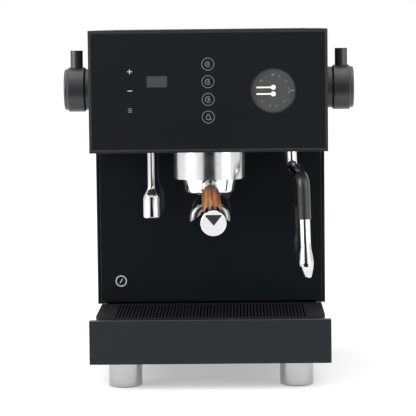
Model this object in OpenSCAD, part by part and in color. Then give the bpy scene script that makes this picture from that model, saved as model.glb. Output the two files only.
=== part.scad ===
// Home espresso machine: casing, drip tray, water tank, group with portafilter, steam and water wands.
// X runs to the right, Y to the back and Z up. The origin is on the floor, under the middle of the box.

/* [Overall] */
// Width of the casing
body_w = 240; // [200:1:290]
// Height from the floor to the top of the casing
body_h = 360; // [340:1:440]
// Depth from the tray's front to the back of the casing
body_d = 315; // [300:1:380]
// Height of the head, the part over the cups
head_h = 123; // [115:1:150]
// How far the head stands behind the tray's front
head_y = 28; // [20:1:34]
// How far the column stands behind the tray's front
column_y = 125; // [118:1:140]

/* [Sheet and glass] */
// Thickness of the casing's sheet
sheet_t = 1.5; // [1:0.1:2]
// Thickness of the control and splash glasses
glass_t = 4; // [3:0.1:5]
// Casing edge to glass edge, across the head's bezel ring
bezel_w = 1.2; // [0.8:0.1:2]
// Space between the splash glass and the side panels
splash_gap = 1.75; // [0.6:0.05:3]

/* [Feet] */
// Height of the feet under the base pan
foot_h = 27; // [20:0.5:36]
// Diameter of a foot
foot_d = 34; // [26:0.5:40]
// Distance of a foot's centre from the casing's side
foot_inset = 33; // [22:0.5:50]
// Distance of the front feet's centres behind the tray's front
foot_front_y = 36; // [30:0.5:50]
// Distance of the rear feet's centres in front of the casing's back
foot_rear = 30; // [24:0.5:50]
// Thickness of the rubber pad under a foot
pad_t = 3; // [2:0.1:4]

/* [Drip tray] */
// Height of the tray's front panel
tray_h = 44; // [40:0.5:50]
// How far the front panel reaches past the casing on each side
tray_over = 1; // [0:0.1:3]
// Depth of the front panel's folded edges
tray_fold = 9; // [7:0.5:12]
// Space between the tub's rim and the casing's side
tub_inset = 4; // [3:0.1:6]
// Plan radius of the tub's front corners
tub_corner_r = 22; // [14:0.5:30]
// Thickness of the tub's wall
tub_wall = 2; // [1.5:0.1:3]
// Length of the tub's part under the column
tub_tail = 64; // [40:1:70]
// Thickness of the drip grid
grid_t = 2.5; // [2:0.1:3.5]
// Distance of the outer slots from the grid's sides, at the least
slot_side = 20; // [16:0.5:40]
// Distance from one slot to the next
slot_pitch = 3.4; // [3:0.1:3.6]
// Width of a slot
slot_w = 1.5; // [1:0.1:1.8]

/* [Group and portafilter] */
// Distance of the group's axis behind the tray's front
group_y = 77; // [74:0.5:82]
// Diameter of the group's collar
collar_d = 73.4; // [70:0.2:80]
// Height of the group's collar
collar_h = 29; // [28:0.5:34]
// Diameter of the portafilter's bowl
bowl_d = 55.1; // [52:0.1:58]
// Height of the portafilter's bowl
bowl_h = 28.8; // [28:0.1:32]
// Wall of the portafilter's bowl
bowl_wall = 2.3; // [2:0.1:3]
// Space between the bowl and the collar's bore
bowl_gap = 0.45; // [0.3:0.05:0.8]
// Angle that the portafilter turns through to unlock
unlock_deg = 50; // [40:1:60]
// Distance of the handle's end from the group's axis
handle_len = 185; // [160:1:200]
// Downward tilt of the handle
handle_tilt = 8; // [4:0.5:10]
// Turn of the locked handle from straight ahead
handle_turn = 1.8; // [0:0.1:6]
// Largest diameter of the wooden grip
grip_d = 18.6; // [18:0.1:24]
// Diameter of the handle's end cap
cap_d = 24.5; // [22:0.1:28]

/* [Wands] */
// Distance of the water wand from the middle
water_x = 60; // [54:0.5:66]
// Distance of the water wand's axis behind the tray's front
water_y = 80; // [72:0.5:90]
// Diameter of the water wand's tube
water_tube_d = 8; // [7:0.1:9]
// Diameter of the water wand's outlet
outlet_d = 18.4; // [16:0.1:20]
// Length of the water wand below the head
water_len = 70.3; // [60:0.5:80]
// Distance of the steam wand's ball from the casing's side
steam_inset = 36; // [32:0.5:42]
// Distance of the steam wand's ball behind the tray's front
steam_y = 85; // [80:0.5:90]
// Diameter of the steam wand's tube
steam_tube_d = 10.9; // [9:0.1:12]
// Diameter of the steam wand's grip
steam_grip_d = 13.1; // [12.4:0.1:15]
// Largest diameter of the steam wand's tip
steam_tip_d = 15.2; // [14:0.1:17]
// Reach of the steam wand from its ball to its straight part
steam_reach = 38; // [34:0.5:42]
// Length of the steam wand below the head
steam_len = 130; // [120:1:140]
// Outward lean of the steam wand
steam_lean = 1.6; // [0:0.1:3]
// Diameter of the steam wand's ball
ball_d = 18; // [15:0.1:21.6]
// Diameter of the cross pin that the ball tilts on
pin_d = 5; // [3:0.1:6]

/* [Knobs] */
// Height of the knobs' axis below the casing's top
knob_drop = 60.6; // [56:0.2:70]
// Distance of the knobs' axis behind the tray's front
knob_y = 100; // [92:0.5:110]
// Diameter of a knob
knob_d = 46; // [40:0.2:50]
// Thickness of a knob's ring
knob_t = 18.7; // [16:0.1:22]
// Diameter of the fixed collar and of the knob's cap
knob_collar_d = 42.3; // [36:0.1:44]
// Thickness of the fixed collar
knob_collar_t = 7; // [5:0.1:9]
// Thickness of the knob's domed cap
knob_cap_t = 3.5; // [3:0.1:5]
// Diameter of a knob's lever
lever_d = 12.8; // [10:0.1:14]
// Length of the lever outside the ring
lever_len = 17.2; // [12:0.2:22]
// Diameter of a knob's spindle
spindle_d = 8; // [6:0.1:9]

/* [Gauge and display] */
// Diameter of the gauge's opening in the control glass
gauge_d = 44.6; // [40:0.2:48]
// Distance of the gauge from the middle
gauge_x = 65.4; // [62:0.2:70]
// Depth of the gauge's centre below the casing's top
gauge_drop = 61.6; // [55:0.2:66]
// Distance of each needle's pivot from the gauge's centre
needle_offset = 3.3; // [3:0.1:4]
// Length of a needle from its pivot
needle_len = 16.9; // [14:0.1:17.5]
// Width of the display window
display_w = 19.8; // [16:0.1:24]
// Height of the display window
display_h = 11; // [9:0.1:14]
// Distance of the display window from the middle
display_x = 51.3; // [46:0.1:60]
// Depth of the display window's centre below the casing's top
display_drop = 51.5; // [45:0.1:60]

/* [Water tank and top] */
// Width of the water tank
tank_w = 160; // [140:1:166]
// Depth of the water tank
tank_d = 66; // [60:1:70]
// Wall of the water tank
tank_wall = 2.5; // [2:0.1:3.5]
// Depth of the cup tray's floor below the casing's top
cup_recess = 6; // [4:0.1:10]
// Distance of the cup tray's recess from the casing's sides
cup_side = 16; // [14:0.5:30]
// Depth of the cup tray, front to back
cup_d = 180; // [150:1:182]

/* [Clearances] */
// Radial play of a shaft in its bore
run_fit = 0.05; // [0.02:0.01:0.1]
// Space between parts that slide or turn past each other
part_gap = 0.3; // [0.2:0.05:0.5]

/* [Hidden] */
$fn = 64;
eps = 0.01;

// Casing planes
half_w = body_w / 2;
inner_w = half_w - sheet_t;
base_z = foot_h;
tray_top = base_z + tray_h;
skirt_z = tray_top + 0.5;
frame_z = skirt_z + sheet_t;
head_z = body_h - head_h;
floor_z = head_z + sheet_t;
ceiling_z = body_h - sheet_t;
rear_y = body_d - 2;
rear_in = rear_y - sheet_t;
glass_y = head_y + 0.4;
glass_back = glass_y + glass_t;
splash_y = column_y + 0.3;
splash_back = splash_y + glass_t;
plate_y = splash_back + sheet_t;

// Feet
foot_x = half_w - foot_inset;
foot_rear_y = body_d - foot_rear;
pad_r = foot_d / 2 - 3;
foot_spots = [for (x = [-foot_x, foot_x], y = [foot_front_y, foot_rear_y]) [x, y]];

// Drip tray
grid_z = tray_top + 1;
tub_half = half_w - tub_inset;
tub_front = tray_fold;
tub_back = column_y - 0.7;
tub_floor = base_z + 7;
tub_rim = grid_z - grid_t;
tail_half = tub_half - 8;
tail_back = tub_back + tub_tail;
tail_top = tub_rim - 1.5;
slot_len = 99;
slot_front = tub_front + 6;
slot_count = 2 * floor((tub_half - slot_side) / slot_pitch) + 1;
base_wall_x = tail_half + 3.5;
runner_x = foot_x;

// Group and portafilter, heights
collar_z = head_z - collar_h;
lug_z = collar_z + 7.3;
lug_h = 5.7;
lug_r = bowl_d / 2 + 4.15;
spigot_z = head_z - 5;
spigot_r = 29.5;
group_h = 27;
bowl_top = collar_z + 16.8;
bowl_z = bowl_top - bowl_h;
bowl_r = bowl_d / 2;
bowl_in = bowl_r - bowl_wall;
basket_rim_t = 1.2;
basket_r = bowl_in - 0.25;
screen_r = basket_r - 1.2;
gasket_z = bowl_top + basket_rim_t + part_gap;
handle_z = collar_z - 8.03 + bowl_r * sin(handle_tilt);
ferrule_t = bowl_r + 9;
wood_t = ferrule_t + 9.5;
swell_len = 24;
band_len = 26;
band_flare = 11;
band_t = handle_len - band_len - band_flare - 4;
band_r = 8.1;
stud_r = 3;
stud_len = 15;
cap_chamfer = 0.5;

// The box's middle, front to back: from the handle's end to the casing's back
reach_cos = cos(handle_tilt) * cos(handle_turn);
handle_reach = handle_len * reach_cos + (cap_d / 2 - cap_chamfer) * sqrt(1 - reach_cos * reach_cos);
y_mid = (group_y - handle_reach + body_d) / 2;

// Spout
spout_r = 6.35;
spout_wall = 1.2;
spout_bend = 11.35;
spout_z = bowl_z - 18.1;
spout_x = 3.65;

// Wands
ball_z = head_z + 10;
ball_r = ball_d / 2;
swivel_r = ball_r + 3.2;
swivel_top = ball_z + ball_r + 1.2;
steam_nut_r = swivel_r + 3;
steam_nut_top = swivel_top + part_gap;
nut_roof = 3;
steam_x = half_w - steam_inset;
steam_dir = -74.5;
steam_bend = 11;
steam_elbow = 76;
steam_drop = 11;
water_top = head_z + 13;

// Knobs
knob_z = body_h - knob_drop;
knob_in = half_w + knob_collar_t + part_gap;
valve_len = 30;
valve_r = 12;
spindle_r = spindle_d / 2;

// Gauge
gauge_z = body_h - gauge_drop;
dial_y = glass_y + 3.2;
dial_t = 1.4;
needle_y = dial_y - 1.9;
needle_w = 1.6;
hub_r = 2.5;
post_r = 0.8;
can_depth = 16;

// Tank and top
bulkhead_y = rear_in - 80.5;
bulkhead_back = bulkhead_y + sheet_t;
tank_y = bulkhead_back + 5.5;
tank_back = tank_y + tank_d;
seat_z = base_z + 77;
seat_t = 3;
tank_z = seat_z + seat_t + 0.1;
tank_top = body_h - 9.5;
lid_z = body_h - 7;
lid_t = 6.5;
lid_axis_y = tank_back - 1.5;
lid_axis_z = lid_z + 3;
barrel_r = 3.5;
pin_r = 1.5;
outlet_r = 7;
outlet_y = tank_y + tank_d / 2;
ear_x = 33.5;
cup_w = body_w - 2 * cup_side;
cup_z = body_h - cup_recess;
cup_y = head_y + 14;

// Inside
coffee_block = [90, 70, 70];
coffee_at = [-coffee_block[0] / 2, plate_y + 11, floor_z + 11.5];
steam_block = [80, 50, 100];
steam_at = [15, plate_y + 19, base_z + 73];
pump_r = 17;
pump_x = 15;
pump_len = base_wall_x - pump_x - 11.5;
pump_y = bulkhead_y + 19;
pump_z = base_z + 35;
inlet_x = 60;
inlet_z = base_z + 23;
inlet_w = 28;
inlet_h = 20.5;
switch_x = -60;
switch_w = 15.5;
switch_h = 21.5;
rocker_y = rear_y - 7;
rocker_tilt = 8;
line_r = 3;
cable_r = 9;
cable_x = inner_w - 28.5;
board_left = -inner_w + 14.5;
board_right = 36;
board_h = 74;

screw_r = 3.5;
screw_shank = 1.7;
rear_screw_x = inner_w - 7;
rear_screws = [for (x = [-rear_screw_x, rear_screw_x], z = [frame_z + 12, head_z, ceiling_z - 12]) [x, z]];
under_screws = [for (x = [-foot_x, foot_x], y = [head_y + 32, column_y - 13]) [x, y]];

// ---- Helpers ----

// Puts the tray's front at the right distance in front of the origin
module placed() {
    translate([0, -y_mid, 0]) children();
}

// A box from one corner to the opposite one
module box(low, high) {
    translate(low) cube(high - low);
}

// A cylinder along Y that starts at a point
module along_y(at, r, len) {
    translate(at) rotate([-90, 0, 0]) cylinder(h = len, r = r);
}

// A cylinder along X that starts at a point
module along_x(at, r, len) {
    translate(at) rotate([0, 90, 0]) cylinder(h = len, r = r);
}

// Moves to the group's axis
module at_group() {
    translate([0, group_y, 0]) children();
}

// Turns +Z into the handle's direction, measured from the group's axis
module along_handle() {
    translate([0, group_y, handle_z]) rotate([90 + handle_tilt, 0, handle_turn]) children();
}

// A ring of rectangular section
module ring(z, h, r_out, r_in) {
    difference() {
        translate([0, 0, z]) cylinder(h = h, r = r_out);
        translate([0, 0, z - 1]) cylinder(h = h + 2, r = r_in);
    }
}

// A sector of a ring, centred on an angle
module ring_sector(z, h, r_out, r_in, mid, wide) {
    rotate([0, 0, mid - wide / 2]) rotate_extrude(angle = wide)
        translate([r_in, z]) square([r_out - r_in, h]);
}

// The tub's outline in plan: square at the back, round at the front corners
module tub_outline(inset) {
    r = tub_corner_r - inset;
    w = tub_half - inset;
    front = tub_front + inset;
    translate([-w, front + r]) square([2 * w, tub_back - inset - front - r]);
    translate([-w + r, front]) square([2 * (w - r), r + eps]);
    for (x = [-w + r, w - r]) {
        translate([x, front + r]) circle(r);
    }
}

// A round pipe through a list of points, with a fitting at each corner
module pipe(route, r) {
    for (i = [0:len(route) - 2]) {
        step = route[i + 1] - route[i];
        flat = norm([step[0], step[1]]);
        translate(route[i]) rotate([0, atan2(flat, step[2]), atan2(step[1], step[0])])
            cylinder(h = norm(step), r = r);
    }
    for (i = [1:1:len(route) - 2]) {
        translate(route[i]) sphere(r * 1.35);
    }
}

// ---- Casing ----

module base_pan() {
    color("#1b1c1e") placed() difference() {
        union() {
            box([-base_wall_x, tub_front + 3, base_z], [base_wall_x, rear_y, base_z + sheet_t]);
            for (s = [-1, 1]) {
                translate([s * base_wall_x, 0, 0]) {
                    box([-sheet_t / 2 - s * sheet_t / 2, tub_front + 3, base_z],
                        [sheet_t / 2 - s * sheet_t / 2, column_y, base_z + 6]);
                    box([-sheet_t / 2 - s * sheet_t / 2, column_y + 3, base_z],
                        [sheet_t / 2 - s * sheet_t / 2, rear_y, frame_z]);
                }
                box([min(s * base_wall_x, s * inner_w) , column_y + 3, skirt_z],
                    [max(s * base_wall_x, s * inner_w), rear_y, frame_z]);
                box([s * runner_x - 5, tub_front + 12, base_z + sheet_t - eps],
                    [s * runner_x + 5, tail_back - 4, tub_floor - part_gap]);
            }
            box([-base_wall_x, rear_in, base_z], [base_wall_x, rear_y, frame_z]);
            box([-base_wall_x, tail_back + 6, base_z], [base_wall_x, tail_back + 6 + sheet_t, frame_z]);
        }
        box([inlet_x - inlet_w / 2 - 0.2, rear_in - 1, inlet_z - inlet_h / 2 - 0.2],
            [inlet_x + inlet_w / 2 + 0.2, rear_y + 1, inlet_z + inlet_h / 2 + 0.2]);
        box([switch_x - switch_w / 2 - 0.2, rear_in - 1, inlet_z - switch_h / 2 - 0.2],
            [switch_x + switch_w / 2 + 0.2, rear_y + 1, inlet_z + switch_h / 2 + 0.2]);
        for (i = [-6:6]) {
            box([i * 12 - 1.5, tail_back + 30, base_z - 1], [i * 12 + 1.5, tail_back + 60, base_z + 3]);
        }
    }
}

// Side panel in the shape of an inverted L, seen from the side
module side_panel(s) {
    placed() difference() {
        translate([s > 0 ? inner_w : -half_w, 0, 0]) rotate([90, 0, 90])
            linear_extrude(sheet_t) polygon([
                [column_y, skirt_z], [body_d, skirt_z], [body_d, body_h],
                [head_y, body_h], [head_y, head_z], [column_y, head_z],
            ]);
        along_x([s > 0 ? inner_w - 1 : -half_w - 1, knob_y, knob_z], spindle_r + 1, sheet_t + 2);
    }
}

module left_side_panel() {
    color("#1b1c1e") side_panel(-1);
}

module right_side_panel() {
    color("#1b1c1e") side_panel(1);
}

module rear_panel() {
    color("#202124") placed() difference() {
        box([-inner_w, rear_in, frame_z], [inner_w, rear_y, ceiling_z]);
        for (x = [-60, 0, 60], i = [0:9]) {
            box([x - 22, rear_in - 1, head_z - 130 + i * 9], [x + 22, rear_y + 1, head_z - 127 + i * 9]);
        }
        for (p = rear_screws) {
            along_y([p[0], rear_in - 1, p[1]], screw_shank, sheet_t + 2);
        }
    }
}

module top_frame() {
    color("#1b1c1e") placed() difference() {
        box([-inner_w, head_y, ceiling_z], [inner_w, body_d, body_h]);
        box([-cup_w / 2, cup_y, ceiling_z - 1], [cup_w / 2, cup_y + cup_d, body_h + 1]);
        box([-tank_w / 2 - 4, tank_y - 4, ceiling_z - 1], [tank_w / 2 + 4, tank_back + 4, body_h + 1]);
    }
}

// The pan that cups stand on, riveted under the top frame
module cup_tray() {
    pan = 1.2;
    flange = 6;
    gap_step = 15;
    gaps = floor((cup_w / 2 - 12) / gap_step);
    color("#2b2d30") placed() difference() {
        union() {
            box([-cup_w / 2 - flange, cup_y - flange, ceiling_z - pan],
                [cup_w / 2 + flange, cup_y + cup_d + flange, ceiling_z]);
            box([-cup_w / 2 - pan, cup_y - pan, cup_z - pan],
                [cup_w / 2 + pan, cup_y + cup_d + pan, ceiling_z]);
        }
        box([-cup_w / 2, cup_y, cup_z], [cup_w / 2, cup_y + cup_d, body_h]);
        for (i = [-gaps:gaps]) {
            box([i * gap_step - 2, cup_y + 20, cup_z - pan - 1],
                [i * gap_step + 2, cup_y + cup_d - 20, cup_z + 1]);
        }
    }
}

module head_underside() {
    color("#232528") placed() difference() {
        box([-inner_w, head_y + 1, head_z], [inner_w, plate_y + 8, floor_z]);
        at_group() translate([0, 0, head_z - 1]) cylinder(h = sheet_t + 2, r = spigot_r + 0.5);
        translate([-water_x, water_y, head_z - 1]) cylinder(h = sheet_t + 2, r = water_tube_d / 2 + 1);
        translate([steam_x, steam_y, head_z - 1]) cylinder(h = sheet_t + 2, r = steam_nut_r - 1.5);
        for (p = under_screws) {
            translate([p[0], p[1], head_z - 1]) cylinder(h = sheet_t + 2, r = screw_shank);
        }
    }
}

// Ring round the control glass, with a ledge behind it
module head_bezel() {
    glass_half = inner_w - bezel_w;
    color("#3c3f42") placed() difference() {
        box([-inner_w, head_y, floor_z], [inner_w, glass_back + sheet_t, ceiling_z]);
        box([-glass_half, head_y - 1, floor_z + bezel_w + 0.8],
            [glass_half, glass_back, ceiling_z - bezel_w - 0.6]);
        box([-inner_w + 8, head_y, floor_z + 8], [inner_w - 8, body_d, ceiling_z - 8]);
    }
}

module control_glass() {
    glass_half = inner_w - bezel_w;
    color("#0c0d0f") placed() difference() {
        box([-glass_half, glass_y, floor_z + bezel_w + 0.8],
            [glass_half, glass_back, ceiling_z - bezel_w - 0.6]);
        along_y([gauge_x, glass_y - 1, gauge_z], gauge_d / 2, glass_t + 2);
        box([-display_x - display_w / 2, glass_y - 1, body_h - display_drop - display_h / 2],
            [-display_x + display_w / 2, glass_y + 0.6, body_h - display_drop + display_h / 2]);
    }
}

module display_window() {
    color("#3f3f44") placed()
        box([-display_x - display_w / 2, glass_y + 0.1, body_h - display_drop - display_h / 2],
            [-display_x + display_w / 2, glass_y + 0.6, body_h - display_drop + display_h / 2]);
}

module splash_glass() {
    color("#0c0d0f") placed()
        box([-inner_w + splash_gap, splash_y, frame_z + 1.5],
            [inner_w - splash_gap, splash_back, head_z - 0.3]);
}

module column_plate() {
    color("#17181a") placed() box([-inner_w, splash_back, frame_z], [inner_w, plate_y, head_z]);
}

// Inner wall between the hot parts and the tank
module inner_bulkhead() {
    color("#8a8d90") placed() difference() {
        box([-inner_w, bulkhead_y, frame_z], [inner_w, bulkhead_back, ceiling_z - 8]);
        for (x = [-cable_x, cable_x]) {
            along_y([x, bulkhead_y - 1, head_z], cable_r, sheet_t + 2);
        }
    }
}

// Shelf that the tank stands on, with the socket for its outlet
module tank_seat() {
    color("#2c2e31") placed() difference() {
        union() {
            box([-inner_w, bulkhead_back, seat_z], [inner_w, rear_in, seat_z + seat_t]);
            translate([0, outlet_y, seat_z - 12]) cylinder(h = 12 + eps, r = outlet_r + 3);
        }
        translate([0, outlet_y, seat_z - 9]) cylinder(h = 9 + seat_t + 1, r = outlet_r + part_gap);
    }
}

module feet() {
    color("silver") placed() for (p = foot_spots) {
        translate([p[0], p[1], 0]) difference() {
            translate([0, 0, 1]) cylinder(h = base_z - 1, r = foot_d / 2);
            translate([0, 0, -1]) cylinder(h = pad_t + 1, r = pad_r + run_fit);
        }
    }
}

module foot_pads() {
    color("#222222") placed() for (p = foot_spots) {
        translate([p[0], p[1], 0]) cylinder(h = pad_t, r = pad_r);
    }
}

// Back panel screws and the screws under the head
module casing_screws() {
    color("silver") placed() {
        for (p = rear_screws) {
            along_y([p[0], rear_in - 3, p[1]], screw_shank, sheet_t + 3 + eps);
            along_y([p[0], rear_y, p[1]], screw_r, 1.4);
        }
        for (p = under_screws) {
            translate([p[0], p[1], head_z - 1.4]) cylinder(h = 1.4, r = screw_r);
            translate([p[0], p[1], head_z - eps]) cylinder(h = sheet_t + 3, r = screw_shank);
        }
    }
}

// ---- Group ----

module group_body() {
    color("#b5a27a") placed() at_group() difference() {
        union() {
            translate([0, 0, floor_z]) cylinder(h = group_h, r = collar_d / 2 - 1.7);
            translate([0, 0, spigot_z]) cylinder(h = sheet_t + 6, r = spigot_r);
        }
        translate([0, 0, spigot_z - 1]) cylinder(h = 16, r = 3);
    }
}

// Collar with an inner groove for the lugs and two entry slots in its lip
module group_collar() {
    color("#d0d2d4") placed() at_group() difference() {
        translate([0, 0, collar_z]) cylinder(h = collar_h, r = collar_d / 2);
        translate([0, 0, collar_z - 1]) cylinder(h = collar_h, r = bowl_r + bowl_gap);
        translate([0, 0, lug_z - part_gap]) cylinder(h = lug_h + 2 * part_gap, r = lug_r + bowl_gap);
        translate([0, 0, lug_z]) cylinder(h = collar_h, r = spigot_r + 0.4);
        for (a = [0, 180]) {
            ring_sector(collar_z - 1, 9, lug_r + bowl_gap, bowl_r - 1, a - unlock_deg, 30);
        }
    }
}

module group_gasket() {
    color("#8c4a2f") placed() at_group() ring(gasket_z, spigot_z - gasket_z, spigot_r - 0.1, bowl_in - 1.05);
}

// Shower screen with its screw, fixed under the group body
module shower_screen() {
    color("#c8cacc") placed() at_group() difference() {
        union() {
            translate([0, 0, spigot_z - 4]) cylinder(h = 4, r = screen_r);
            translate([0, 0, spigot_z - 5.2]) cylinder(h = 1.2 + eps, r = 4);
        }
        translate([0, 0, spigot_z - 3]) cylinder(h = 4, r = screen_r - 1);
        for (r = [9, 14, 19], i = [0:5]) {
            rotate([0, 0, i * 60 + r * 3]) translate([r, 0, spigot_z - 5]) cylinder(h = 4, r = 0.8);
        }
    }
}

// Outline of the bowl from its bottom centre to its rim, with a round lower edge
function bowl_profile(r, h, bend) = concat(
    [[0, 0], [r - 1.8 - bend, 0]],
    [for (a = [0:15:90]) [r - 1.8 - bend + bend * sin(a), bend - bend * cos(a)]],
    [[r, 15], [r, h], [0, h]]
);

module portafilter_bowl() {
    color("#d6d8da") placed() {
        difference() {
            union() {
                at_group() translate([0, 0, bowl_z]) rotate_extrude()
                    polygon(bowl_profile(bowl_r, bowl_h, 4));
                at_group() for (a = [0, 180]) {
                    ring_sector(lug_z, lug_h, lug_r, bowl_r - 1, a, 22);
                }
                along_handle() translate([0, 0, bowl_r - 2]) cylinder(h = 11, r1 = 8, r2 = 5);
            }
            at_group() translate([0, 0, bowl_z + 3]) cylinder(h = bowl_h, r = bowl_in);
            at_group() translate([0, 0, bowl_z - 1]) cylinder(h = 5, r = 4);
        }
    }
}

module filter_basket() {
    deep = bowl_h - 8;
    color("#c4c6c8") placed() at_group() difference() {
        union() {
            translate([0, 0, bowl_top - deep]) cylinder(h = deep + eps, r = basket_r);
            translate([0, 0, bowl_top]) cylinder(h = basket_rim_t, r = bowl_r - 0.2);
        }
        translate([0, 0, bowl_top - deep + 0.8]) cylinder(h = deep + 3, r = basket_r - 0.8);
        for (r = [6, 12, 18], i = [0:7]) {
            rotate([0, 0, i * 45 + r * 2]) translate([r, 0, bowl_top - deep - 1]) cylinder(h = 3, r = 0.6);
        }
    }
}

// One curved outlet of the spout, with a slanted mouth
module spout_wing() {
    mouth_tilt = 35.4;
    translate([-spout_x, 0, spout_z - spout_bend]) difference() {
        rotate([90, 0, 0]) rotate([0, 0, 90]) rotate_extrude(angle = 108) translate([spout_bend, 0])
            difference() {
                circle(spout_r);
                circle(spout_r - spout_wall);
            }
        translate([-spout_bend - spout_r + 0.4, -20, -4.1]) rotate([0, -mouth_tilt, 0])
            translate([-20, 0, -30]) cube([60, 40, 30]);
    }
}

module double_spout() {
    color("#cfd1d3") placed() at_group() difference() {
        union() {
            spout_wing();
            mirror([1, 0, 0]) spout_wing();
            translate([0, 0, spout_z - 7]) cylinder(h = bowl_z - spout_z + 7, r = 7.4);
        }
        translate([0, 0, spout_z - 4]) cylinder(h = 40, r = 4);
        along_x([-5, 0, spout_z + 0.3], spout_r - spout_wall - 0.2, 10);
    }
}

module handle_ferrule() {
    color("#35373a") placed() along_handle() {
        translate([0, 0, ferrule_t]) rotate_extrude()
            polygon([[0, 0], [5, 0], [4.6, 2], [6.4, 5], [6.6, 8], [6, wood_t - ferrule_t],
                [0, wood_t - ferrule_t]]);
        translate([0, 0, wood_t - eps]) cylinder(h = stud_len + eps, r = stud_r);
    }
}

// Half outline of the grip: a quick swell behind the ferrule, then a long taper to the band
function grip_profile() = concat(
    [for (a = [0:10:90]) [6 + (grip_d / 2 - 6) * sin(a), wood_t + swell_len * (1 - cos(a))]],
    [for (k = [1:6]) [grip_d / 2 - (grip_d / 2 - band_r + 0.1) * pow(k / 6, 2),
        wood_t + swell_len + (band_t - wood_t - swell_len) * k / 6]]
);

module handle_grip() {
    color("#a5602c") placed() along_handle() difference() {
        rotate_extrude() polygon(concat([[0, wood_t]], grip_profile(), [[0, band_t]]));
        translate([0, 0, wood_t - 1]) cylinder(h = stud_len + 2, r = stud_r + run_fit);
        translate([0, 0, band_t - stud_len - 1]) cylinder(h = stud_len + 2, r = stud_r + run_fit);
    }
}

// Band and polished end cap, with a stud into the wood
module handle_cap() {
    cap_r = cap_d / 2;
    color("#d8dadc") placed() along_handle() {
        rotate_extrude() polygon(concat(
            [[0, band_t], [band_r, band_t], [band_r, band_t + band_len]],
            [for (a = [0:15:90])
                [cap_r - (cap_r - band_r) * cos(a), band_t + band_len + band_flare * sin(a)]],
            [[cap_r, handle_len - cap_chamfer], [cap_r - cap_chamfer, handle_len], [0, handle_len]]
        ));
        translate([0, 0, band_t - stud_len]) cylinder(h = stud_len + eps, r = stud_r);
    }
}

// ---- Wands ----

// Fixed nut round the swivel of the steam wand
module steam_nut() {
    color("#b8babc") placed() translate([steam_x, steam_y, 0]) difference() {
        union() {
            ring(floor_z, steam_nut_top - floor_z, steam_nut_r, swivel_r + run_fit);
            translate([0, 0, steam_nut_top - eps]) cylinder(h = nut_roof, r = steam_nut_r);
        }
        translate([0, 0, ball_z]) cylinder(h = 2 * ball_d, r = 2);
    }
}

// Cup that holds the ball and its cross pin: it turns inside the nut
module steam_swivel() {
    color("#9a9c9e") placed() translate([steam_x, steam_y, 0]) difference() {
        translate([0, 0, floor_z + 0.5]) cylinder(h = swivel_top - floor_z - 0.5, r = swivel_r);
        translate([0, 0, ball_z]) sphere(ball_r + part_gap);
        translate([0, 0, floor_z - 1])
            cylinder(h = ball_z - floor_z - 2.6, r1 = swivel_r - 0.8, r2 = ball_r - 0.3);
        translate([0, 0, ball_z]) cylinder(h = ball_d, r = 2);
        along_y([0, -swivel_r - 1, ball_z], pin_d / 2 + run_fit, 2 * swivel_r + 2);
    }
}

// Puts the steam wand's own plane through its ball, leaning outward
module steam_frame() {
    translate([steam_x, steam_y, ball_z]) rotate([0, -steam_lean, 0]) rotate([0, 0, steam_dir]) children();
}

// Lengths along the wand, down from the ball's centre
steam_turn = steam_reach - 2 * steam_bend * (1 - cos(steam_elbow));
steam_slope = steam_turn / sin(steam_elbow);
steam_knee = steam_drop + 10 + 2 * steam_bend * sin(steam_elbow) + steam_slope * cos(steam_elbow);
steam_end = steam_len + 10;
tip_len = 35;
grip_end = steam_end - 59.7;
// Straight tube runs this far into a bend, this much thinner, so that the two join
weld_in = 0.4;
weld_step = 0.02;

// A bend in the wand's plane: starts downward and turns towards +X of that plane
module steam_elbow_part(r, turn) {
    translate([steam_bend, 0, 0]) rotate([90, 0, 0]) rotate([0, 0, 180])
        rotate_extrude(angle = turn) translate([steam_bend, 0]) circle(r);
}

// The bent upper part of the wand: down, forward, and down again
module steam_upper(r) {
    down = steam_drop + 10;
    knee = [steam_bend * (1 - cos(steam_elbow)), 0, -down - steam_bend * sin(steam_elbow)];
    translate([0, 0, -down - weld_in]) cylinder(h = down + weld_in, r = r - weld_step);
    translate([0, 0, -down]) steam_elbow_part(r, steam_elbow);
    translate(knee) rotate([0, -steam_elbow, 0]) translate([0, 0, -steam_slope - weld_in])
        cylinder(h = steam_slope + 2 * weld_in, r = r - weld_step);
}

module steam_lower_bend(r) {
    translate([steam_reach, 0, -steam_knee]) mirror([1, 0, 0]) mirror([0, 0, 1])
        steam_elbow_part(r, steam_elbow);
}

module steam_tube() {
    r = steam_tube_d / 2;
    pin_half = swivel_r - 0.6;
    color("#d4d6d8") placed() {
        steam_frame() {
            sphere(ball_r);
            steam_upper(r);
            steam_lower_bend(r);
            translate([steam_reach, 0, -(steam_end - tip_len)])
                cylinder(h = steam_end - tip_len - steam_knee + weld_in, r = r - weld_step);
        }
        along_y([steam_x, steam_y - pin_half, ball_z], pin_d / 2, 2 * pin_half);
    }
}

// Rubber grip over the lower bend and the straight part
module steam_grip() {
    r = steam_grip_d / 2;
    bore = steam_tube_d / 2 + run_fit;
    color("#17181a") placed() steam_frame() difference() {
        union() {
            steam_lower_bend(r);
            translate([steam_reach, 0, -grip_end]) cylinder(h = grip_end - steam_knee, r = r);
        }
        steam_lower_bend(bore);
        translate([steam_reach, 0, -grip_end - 1]) cylinder(h = grip_end - steam_knee + 1, r = bore);
    }
}

module steam_tip() {
    r = steam_tube_d / 2;
    wide = steam_tip_d / 2;
    color("#dcdee0") placed() steam_frame() translate([steam_reach, 0, -steam_end]) difference() {
        rotate_extrude() polygon(concat(
            [[0, 0], [4.6, 0]],
            [for (k = [0:4]) [4.95 + (wide - 4.95) * sin(k * 22.5), 0.5 + k * 3.6]],
            [for (k = [1:6]) [wide - (wide - r) * (1 - cos(k * 30)) / 2, 14.9 + k * (tip_len - 14.9) / 6]],
            [[0, tip_len]]
        ));
        for (a = [0:90:270]) {
            rotate([0, 0, a]) translate([2.6, 0, -1]) cylinder(h = 8, r = 0.6);
        }
    }
}

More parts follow.
